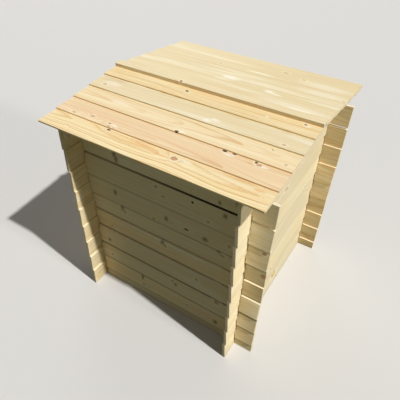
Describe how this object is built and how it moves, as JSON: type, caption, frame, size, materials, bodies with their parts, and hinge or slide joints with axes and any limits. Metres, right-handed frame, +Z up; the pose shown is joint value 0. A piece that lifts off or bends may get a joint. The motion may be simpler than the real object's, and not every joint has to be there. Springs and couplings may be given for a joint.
{
  "type": "compost bin",
  "caption": "Free-standing garden compost bin of notched timber boards stacked log-cabin fashion, open to the soil, under a low pitched roof of lapped boards that lifts off.",
  "frame": {"origin": "on the ground, in the middle of the bin's outline", "axes": "+Z up, the front wall faces -Y, the ridge of the roof runs along X"},
  "size_m": [0.9, 0.916, 0.9419],
  "materials": {
    "spruce": "raw planed",
    "screw_steel": "zinc plated"
  },
  "bodies": {
    "bin": {"front_board_1": "spruce", "front_board_2": "spruce", "front_board_3": "spruce", "front_board_4": "spruce", "front_board_5": "spruce", "front_board_6": "spruce", "front_board_7": "spruce", "front_board_8": "spruce", "front_sill_board": "spruce", "left_board_1": "spruce", "left_board_2": "spruce", "left_board_3": "spruce", "left_board_4": "spruce", "left_board_5": "spruce", "left_board_6": "spruce", "left_board_7": "spruce", "left_board_8": "spruce", "left_gable_board": "spruce", "rear_board_1": "spruce", "rear_board_2": "spruce", "rear_board_3": "spruce", "rear_board_4": "spruce", "rear_board_5": "spruce", "rear_board_6": "spruce", "rear_board_7": "spruce", "rear_board_8": "spruce", "rear_sill_board": "spruce", "right_board_1": "spruce", "right_board_2": "spruce", "right_board_3": "spruce", "right_board_4": "spruce", "right_board_5": "spruce", "right_board_6": "spruce", "right_board_7": "spruce", "right_board_8": "spruce", "right_gable_board": "spruce"},
    "roof": {"front_roof_board_1": "spruce", "front_roof_board_2": "spruce", "front_roof_board_3": "spruce", "front_roof_board_4": "spruce", "front_roof_board_5": "spruce", "left_roof_cleat": "spruce", "rear_roof_board_1": "spruce", "rear_roof_board_2": "spruce", "rear_roof_board_3": "spruce", "rear_roof_board_4": "spruce", "rear_roof_board_5": "spruce", "ridge_screws": "screw_steel", "ridge_strip": "spruce", "right_roof_cleat": "spruce", "roof_screws": "screw_steel"}
  },
  "joints": [
    {"name": "roof_lift", "type": "slide", "parent": "bin", "child": "roof", "axis": [0, 0, 1], "range_m": [0, 0.3]}
  ]
}
